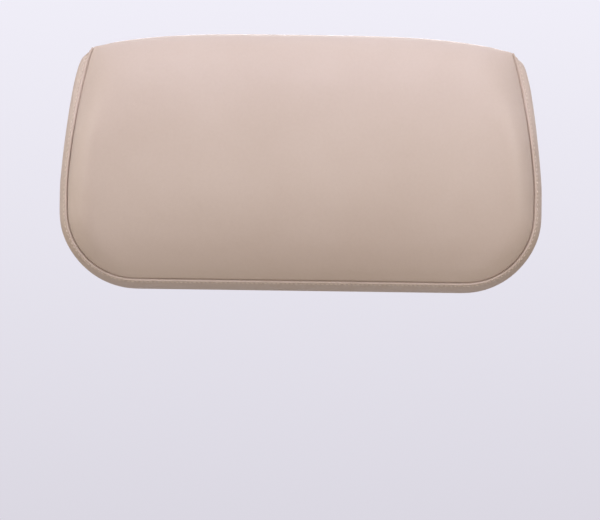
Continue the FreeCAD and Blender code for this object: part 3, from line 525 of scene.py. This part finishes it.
class Shader:
    """A Principled material whose textures follow the object's own space, in metres."""

    def __init__(self, name, **settings):
        self.material = bpy.data.materials.new(name)
        self.material.use_nodes = True
        self.nodes, self.links = self.material.node_tree.nodes, self.material.node_tree.links
        self.main = next(n for n in self.nodes if n.type == "BSDF_PRINCIPLED")
        for key, value in settings.items():
            self.main.inputs[key.replace("_", " ")].default_value = value
        self.space = self.nodes.new("ShaderNodeTexCoord").outputs["Object"]

    def node(self, kind, inputs=(), **attributes):
        made = self.nodes.new("ShaderNode" + kind)
        for key, value in attributes.items():
            setattr(made, key, value)
        for key, value in dict(inputs).items():
            if isinstance(value, bpy.types.NodeSocket):
                self.links.new(value, made.inputs[key])
            else:
                made.inputs[key].default_value = value
        return made

    def stretched(self, scale):
        return self.node("Mapping", {"Vector": self.space, "Scale": scale}).outputs["Vector"]

    def noise(self, scale, detail=3, roughness=0.5, space=None):
        made = self.node("TexNoise", {"Vector": space or self.space, "Scale": scale, "Detail": detail,
                                      "Roughness": roughness})
        return made.outputs["Fac"]

    def cells(self, scale, feature="F1", randomness=1.0, space=None):
        inputs = {"Vector": space or self.space, "Scale": scale, "Randomness": randomness}
        made = self.node("TexVoronoi", inputs, feature=feature)
        return made.outputs["Distance"]

    def spread(self, fac, low, high, out_low, out_high):
        made = self.node("MapRange", {"Value": fac, "From Min": low, "From Max": high, "To Min": out_low,
                                      "To Max": out_high})
        return made.outputs["Result"]

    def math(self, operation, a, b):
        return self.node("Math", {0: a, 1: b}, operation=operation).outputs[0]

    def colour(self, fac, low, high):
        made = self.node("Mix", data_type="RGBA")
        self.links.new(fac, made.inputs[0])
        made.inputs[6].default_value, made.inputs[7].default_value = low, high
        self.links.new(made.outputs[2], self.main.inputs["Base Color"])
        return made

    def rough(self, fac, low, high):
        self.links.new(self.spread(fac, 0.3, 0.7, low, high), self.main.inputs["Roughness"])

    def bump(self, *layers):
        """Layers of (height, strength, distance in metres), coarse to fine."""
        normal = None
        for height, strength, distance in layers:
            made = self.node("Bump", {"Height": height, "Strength": strength, "Distance": distance})
            if normal:
                self.links.new(normal, made.inputs["Normal"])
            normal = made.outputs["Normal"]
        self.links.new(normal, self.main.inputs["Normal"])


def leather(name, low, high, rough=(0.44, 0.56)):
    s = Shader(name, IOR=1.46, Coat_Weight=0.04, Coat_Roughness=0.35, Sheen_Weight=0.08, Sheen_Roughness=0.4)
    patch, mottle = s.noise(9, 3), s.noise(420, 3, 0.6)
    blend = s.math("ADD", s.spread(patch, 0.3, 0.7, 0, 0.7), s.spread(mottle, 0.3, 0.7, 0, 0.3))
    s.colour(blend, low, high)
    s.rough(s.noise(260, 2), *rough)
    warped = s.node("VectorMath", {0: s.space, 1: s.stretched((1, 1, 1))}, operation="ADD").outputs[0]
    grain = s.spread(s.cells(620, "DISTANCE_TO_EDGE", space=warped), 0.0, 0.22, 0, 1)
    s.bump((s.noise(34, 3), 0.35, 0.0016), (grain, 0.22, 0.00012), (s.noise(2600, 2), 0.18, 0.00005))
    return s.material


def metal(name, colour, rough, brushed=None):
    s = Shader(name, Metallic=1.0, Roughness=rough)
    streak = s.noise(900, 3, 0.6, s.stretched(brushed) if brushed else None)
    dark = tuple(c * 0.82 for c in colour[:3]) + (1,)
    s.colour(s.noise(45, 3), dark, colour)
    s.rough(streak, rough - 0.06, rough + 0.1)
    s.bump((streak, 0.12, 0.00003))
    return s.material


def plastic(name, colour, rough, grain=1500, strength=0.3):
    s = Shader(name, IOR=1.5)
    light = tuple(min(1, c * 1.25 + 0.004) for c in colour[:3]) + (1,)
    s.colour(s.noise(60, 4), colour, light)
    s.rough(s.noise(500, 2), rough - 0.05, rough + 0.07)
    s.bump((s.cells(grain, "SMOOTH_F1"), strength, 0.00006))
    return s.material


def painted(name, colour, rough):
    s = Shader(name, IOR=1.5, Coat_Weight=0.15, Coat_Roughness=0.3)
    light = tuple(min(1, c * 1.3 + 0.005) for c in colour[:3]) + (1,)
    s.colour(s.noise(70, 3), colour, light)
    s.rough(s.noise(300, 2), rough - 0.05, rough + 0.08)
    s.bump((s.noise(1400, 2), 0.3, 0.00006))
    return s.material


def plywood(name):
    s = Shader(name, Roughness=0.6)
    rings = s.node("TexWave", {"Vector": s.stretched((0.35, 1, 1)), "Scale": 34, "Distortion": 6, "Detail": 4,
                               "Detail Scale": 1.2}, bands_direction="Z")
    plies = s.node("TexWave", {"Vector": s.space, "Scale": 160, "Distortion": 0.4}, bands_direction="Y")
    blend = s.math("MULTIPLY", rings.outputs["Fac"], s.spread(plies.outputs["Fac"], 0, 1, 0.55, 1))
    s.colour(blend, srgb(150, 112, 70), srgb(205, 170, 122))
    s.rough(s.noise(200, 3), 0.5, 0.72)
    s.bump((rings.outputs["Fac"], 0.15, 0.0002))
    return s.material


def thread(name, colour):
    s = Shader(name, Roughness=0.55, Sheen_Weight=0.3)
    # The twist's wave gives the thread its bump and also darkens its colour where the bump is low: painted
    # shade in the twist's grooves.
    twist_and_groove_shade = s.node("TexWave", {"Vector": s.space, "Scale": 900, "Distortion": 1.5},
                   bands_direction="DIAGONAL")
    s.colour(twist_and_groove_shade.outputs["Fac"], tuple(c * 0.7 for c in colour[:3]) + (1,), colour)
    s.bump((twist_and_groove_shade.outputs["Fac"], 0.5, 0.0001))
    return s.material


MATERIALS = {
    "leather": leather("leather_beige", srgb(197, 176, 164), srgb(204, 184, 173)),
    "rear_leather": leather("leather_rear", srgb(176, 154, 140), srgb(190, 168, 154)),
    "plywood": plywood("birch_plywood"),
    "post_steel": metal("satin_steel", srgb(196, 196, 200), 0.26, brushed=(1, 1, 0.05)),
    "plate_steel": painted("black_powder_coat", srgb(34, 34, 36), 0.45),
    "zinc": metal("zinc_plate", srgb(190, 192, 190), 0.34),
    "spring_steel": metal("spring_wire", srgb(120, 120, 124), 0.3),
    "rubber": plastic("black_rubber", srgb(30, 30, 31), 0.75, grain=900, strength=0.5),
    "housing_plastic": plastic("grained_plastic", srgb(46, 46, 48), 0.5),
    "nylon": plastic("nylon", srgb(62, 61, 62), 0.4, grain=2600, strength=0.15),
    "clamp_plastic": plastic("glass_filled_nylon", srgb(40, 40, 42), 0.55, grain=700),
    "foam": plastic("foam", srgb(226, 214, 170), 0.9, grain=700, strength=0.6),
    "wadding": plastic("wadding", srgb(232, 232, 228), 0.95, grain=400, strength=0.8),
}


def wear(obj, material):
    obj.data.materials.clear()
    obj.data.materials.append(material)
    for face in obj.data.polygons:
        face.material_index = 0


slots = {p["node"]: p["material_slot"] for p in frame["record"]["subparts"]}
for name, node in frame["nodes"].items():
    wear(node, MATERIALS[slots[name]])

cushion = finish_leather(front_panel())
band = finish_leather(border_band())
seam_stitches = stitches()
rear = rear_panel()

wear(cushion, MATERIALS["leather"])
wear(band, MATERIALS["leather"])
wear(seam_stitches, thread("thread_beige", srgb(232, 212, 198)))
wear(rear, MATERIALS["rear_leather"])

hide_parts("front_cover", "wadding_layer", "foam_core")
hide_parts("border_band")
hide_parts("rear_cover")
for piece in (cushion, band, seam_stitches, rear):
    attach(piece, "pad")

# ---------------------------------------------------------------- stage, light and camera
CAMERA_RANGE, CAMERA_LENS = 1.6, 104.9
eye = Vector((0.0001, PAD_REAR - 0.02 - CAMERA_RANGE, PAD_BOTTOM + 0.0275))
camera = bpy.data.objects.new("camera", bpy.data.cameras.new("camera"))
scene.collection.objects.link(camera)
camera.location = eye
camera.rotation_euler = (math.radians(90), math.radians(-0.8), 0)
camera.data.lens = CAMERA_LENS
camera.data.sensor_width = 36
camera.data.clip_start, camera.data.clip_end = 0.05, 60
scene.camera = camera
scene.view_settings.view_transform = "Standard"


def area_light(name, place, size, power, colour=(1, 1, 1), gloss_only=False):
    """A soft box aimed at the pad. A gloss_only one shows only as a reflection."""
    data = bpy.data.lights.new(name, "AREA")
    data.shape = "RECTANGLE"
    data.size, data.size_y = size
    data.energy, data.color = power, colour
    lamp = bpy.data.objects.new(name, data)
    scene.collection.objects.link(lamp)
    lamp.location = place
    lamp.visible_diffuse = not gloss_only
    lamp.rotation_euler = (Vector((0, -0.06, 0)) - Vector(place)).to_track_quat("-Z", "Y").to_euler()


area_light("key", (0.1, -0.85, 1.6), (1.9, 1.2), 16, (0.95, 0.96, 1))
area_light("left_high", (-1.4, -0.5, 1.3), (0.6, 0.9), 2.4, (0.92, 0.96, 1))
area_light("right_high", (1.4, -0.5, 1.3), (0.6, 0.9), 1.8, (0.92, 0.96, 1))
area_light("high", (0.05, -1.5, 1.6), (1.8, 1.2), 12, (0.68, 0.70, 1))
area_light("crest", (0.2, 0.5, 1.7), (1.6, 1.0), 6, (0.88, 0.93, 1))
area_light("front", (0, -2.3, 0.0), (2.4, 1.5), 25.4, (1, 1, 0.94))
area_light("right", (1.5, -0.7, 0.35), (0.5, 1.2), 2.5, (1, 0.9, 0.7))
area_light("left_rim", (-1.6, 0, 0.3), (0.6, 1.2), 6, (1, 0.92, 0.75))
area_light("back", (0.3, 1.9, 0.8), (1.8, 1.2), 30)
area_light("left_strip", (-1.5, -0.7, 0.3), (0.5, 1.2), 6, gloss_only=True)
area_light("right_strip", (1.5, -0.7, 0.35), (0.5, 1.2), 11, gloss_only=True)


def colour_ramp(nodes, links, height, low, high, stops):
    """Colours by height, from low to high."""
    scale, ramp = nodes.new("ShaderNodeMapRange"), nodes.new("ShaderNodeValToRGB")
    scale.inputs["From Min"].default_value, scale.inputs["From Max"].default_value = low, high
    links.new(height, scale.inputs["Value"])
    links.new(scale.outputs["Result"], ramp.inputs["Fac"])
    elements = ramp.color_ramp.elements
    while len(elements) < len(stops):
        elements.new(1)
    for element, (place, colour) in zip(elements, stops):
        element.position, element.color = place, colour
    return ramp.outputs["Color"]


def studio_world():
    """Pale surroundings that light the part mostly from above, and are reflected pale above, beige below."""
    made = bpy.data.worlds.new("studio")
    made.use_nodes = True
    nodes, links = made.node_tree.nodes, made.node_tree.links
    background = next(n for n in nodes if n.type == "BACKGROUND")
    split = nodes.new("ShaderNodeSeparateXYZ")
    links.new(nodes.new("ShaderNodeTexCoord").outputs["Generated"], split.inputs[0])
    seen = colour_ramp(nodes, links, split.outputs["Z"], -0.16, 0.16,
                       [(0, srgb(218, 215, 225)), (1, srgb(241, 239, 249))])
    light = colour_ramp(nodes, links, split.outputs["Z"], -1, 1,
                        [(0, (0.34, 0.30, 0.25, 1)), (0.45, (0.31, 0.28, 0.24, 1)),
                         (0.52, (0.10, 0.10, 0.10, 1)), (1, (0.22, 0.22, 0.23, 1))])
    reflected = colour_ramp(nodes, links, split.outputs["Z"], -1, 1,
                            [(0, srgb(140, 118, 98)), (0.44, srgb(185, 168, 150)),
                             (0.54, srgb(241, 239, 249))])
    ray, colour = nodes.new("ShaderNodeLightPath"), light
    for kind, view in (("Is Glossy Ray", reflected), ("Is Camera Ray", seen)):
        mix = nodes.new("ShaderNodeMix")
        mix.data_type = "RGBA"
        links.new(ray.outputs[kind], mix.inputs[0])
        links.new(colour, mix.inputs[6])
        links.new(view, mix.inputs[7])
        colour = mix.outputs[2]
    links.new(colour, background.inputs["Color"])
    scene.world = made


def studio_floor():
    """A round pale floor below the part, whose edge fades out."""
    radius, sides, level = 3.0, 96, -1.0
    turns = np.arange(sides) * 2 * math.pi / sides
    ring = [(radius * math.cos(a), radius * math.sin(a), level) for a in turns]
    floor = new_mesh("studio_floor", ring, [tuple(range(sides))], smooth=False)
    s = Shader("floor_paint", Roughness=0.85)
    s.colour(s.noise(3, 2), srgb(222, 219, 228), srgb(228, 225, 234))
    reach = s.node("VectorMath", {0: s.space, 1: (0, 0, level)}, operation="DISTANCE").outputs["Value"]
    s.links.new(s.spread(reach, radius * 0.45, radius, 1, 0), s.main.inputs["Alpha"])
    wear(floor, s.material)
    floor.visible_diffuse = False


studio_world()
studio_floor()
